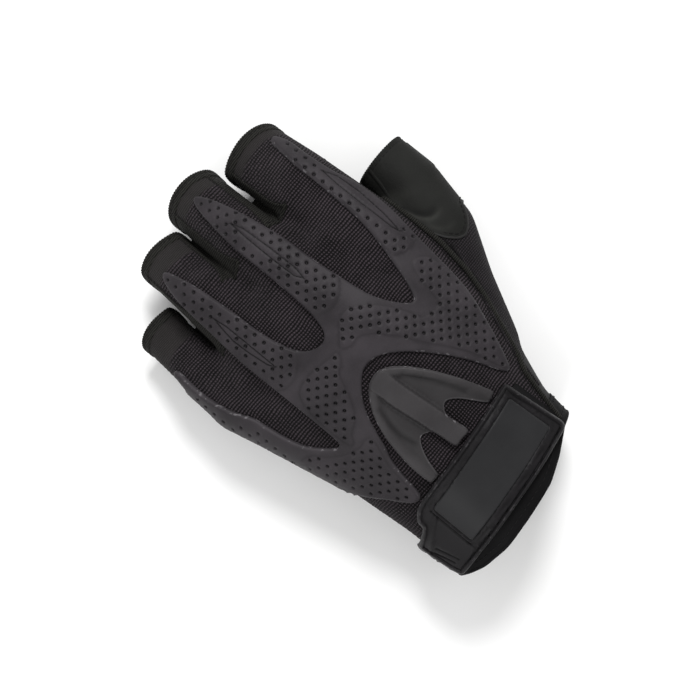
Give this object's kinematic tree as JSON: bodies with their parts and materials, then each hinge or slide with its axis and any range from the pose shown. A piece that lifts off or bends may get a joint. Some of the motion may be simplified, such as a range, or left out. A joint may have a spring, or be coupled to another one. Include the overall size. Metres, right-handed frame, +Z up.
{
  "type": "half-finger sailing glove",
  "caption": "Left half-finger sailing glove in its worn shape: knit back, leather palm, moulded guards on the back of the hand and a hook-and-loop wrist strap.",
  "frame": {"origin": "on the flat underside of the pad under the palm, below the middle finger's line", "axes": "+Z up out of the back of the hand, +Y to the fingertips, +X to the thumb side"},
  "size_m": [0.1262, 0.1783, 0.0518],
  "materials": {
    "waffle_knit": "stretch knit with a fine waffle rib",
    "stretch_binding": "serged stretch binding",
    "palm_leather": "matte synthetic leather",
    "thumb_leather": "smooth synthetic leather, low sheen",
    "grip_leather": "embossed grip leather",
    "guard_rubber": "matte moulded rubber",
    "carpal_rubber": "satin moulded rubber",
    "strap_rubber": "satin moulded rubber",
    "label_plate": "smooth matte",
    "hook_tape": "hook tape",
    "loop_pile": "loop pile",
    "cuff_binding": "smooth folded binding",
    "lining": "soft brushed knit"
  },
  "bodies": {
    "hand": {"back_panel": "waffle_knit", "palm_panel": "palm_leather", "thumb_gusset": "waffle_knit", "thumb_saddle": "thumb_leather", "crotch_index_middle": "stretch_binding", "crotch_middle_ring": "stretch_binding", "crotch_ring_little": "stretch_binding", "knuckle_guard": "guard_rubber", "carpal_guard": "carpal_rubber", "seam_piping": "thumb_leather", "cuff_band": "cuff_binding", "wrist_lining": "lining", "loop_field": "loop_pile", "strap_anchor": "cuff_binding", "palm_pad": "grip_leather", "palm_grip_patch": "grip_leather"},
    "index": {"index_back": "waffle_knit", "index_palm": "palm_leather", "index_fourchette": "stretch_binding", "index_hem": "stretch_binding", "index_guard": "guard_rubber"},
    "middle": {"middle_back": "waffle_knit", "middle_palm": "palm_leather", "middle_fourchette_thumb_side": "stretch_binding", "middle_fourchette_little_side": "stretch_binding", "middle_hem": "stretch_binding", "middle_guard": "guard_rubber"},
    "ring": {"ring_back": "waffle_knit", "ring_palm": "palm_leather", "ring_fourchette_thumb_side": "stretch_binding", "ring_fourchette_little_side": "stretch_binding", "ring_hem": "stretch_binding", "ring_guard": "guard_rubber"},
    "little": {"little_back": "waffle_knit", "little_palm": "palm_leather", "little_fourchette": "stretch_binding", "little_hem": "stretch_binding"},
    "thumb": {"thumb_back": "thumb_leather", "thumb_palm": "thumb_leather", "thumb_hem": "thumb_leather"},
    "strap": {"strap_plate": "strap_rubber", "label_plate": "label_plate", "strap_hook_tape": "hook_tape"},
    "strap_end": {"strap_toe": "strap_rubber", "toe_hook_tape": "hook_tape"}
  },
  "joints": [
    {"name": "index_bend", "type": "hinge", "parent": "hand", "child": "index", "pos_m": [0.02678, 0.074, 0.02266], "axis": [-1, 0, 0], "range_deg": [-20, 20]},
    {"name": "middle_bend", "type": "hinge", "parent": "hand", "child": "middle", "pos_m": [-0.00192, 0.075, 0.02568], "axis": [-1, 0, 0], "range_deg": [-20, 20]},
    {"name": "ring_bend", "type": "hinge", "parent": "hand", "child": "ring", "pos_m": [-0.02764, 0.074, 0.02273], "axis": [-1, 0, 0], "range_deg": [-20, 20]},
    {"name": "little_bend", "type": "hinge", "parent": "hand", "child": "little", "pos_m": [-0.04899, 0.061, 0.01743], "axis": [-1, 0, 0], "range_deg": [-20, 20]},
    {"name": "thumb_bend", "type": "hinge", "parent": "hand", "child": "thumb", "pos_m": [0.05309, 0.041, 0.01361], "axis": [-1, 0, 0], "range_deg": [-20, 20]},
    {"name": "strap_open", "type": "hinge", "parent": "hand", "child": "strap", "pos_m": [0.0194, -0.05, 0.0373], "axis": [-0.1113, 0.9594, 0.259], "range_deg": [0, 120]},
    {"name": "strap_end_peel", "type": "hinge", "parent": "strap", "child": "strap_end", "pos_m": [-0.03535, -0.053, 0.0427], "axis": [0, 1, 0], "range_deg": [0, 60]}
  ]
}
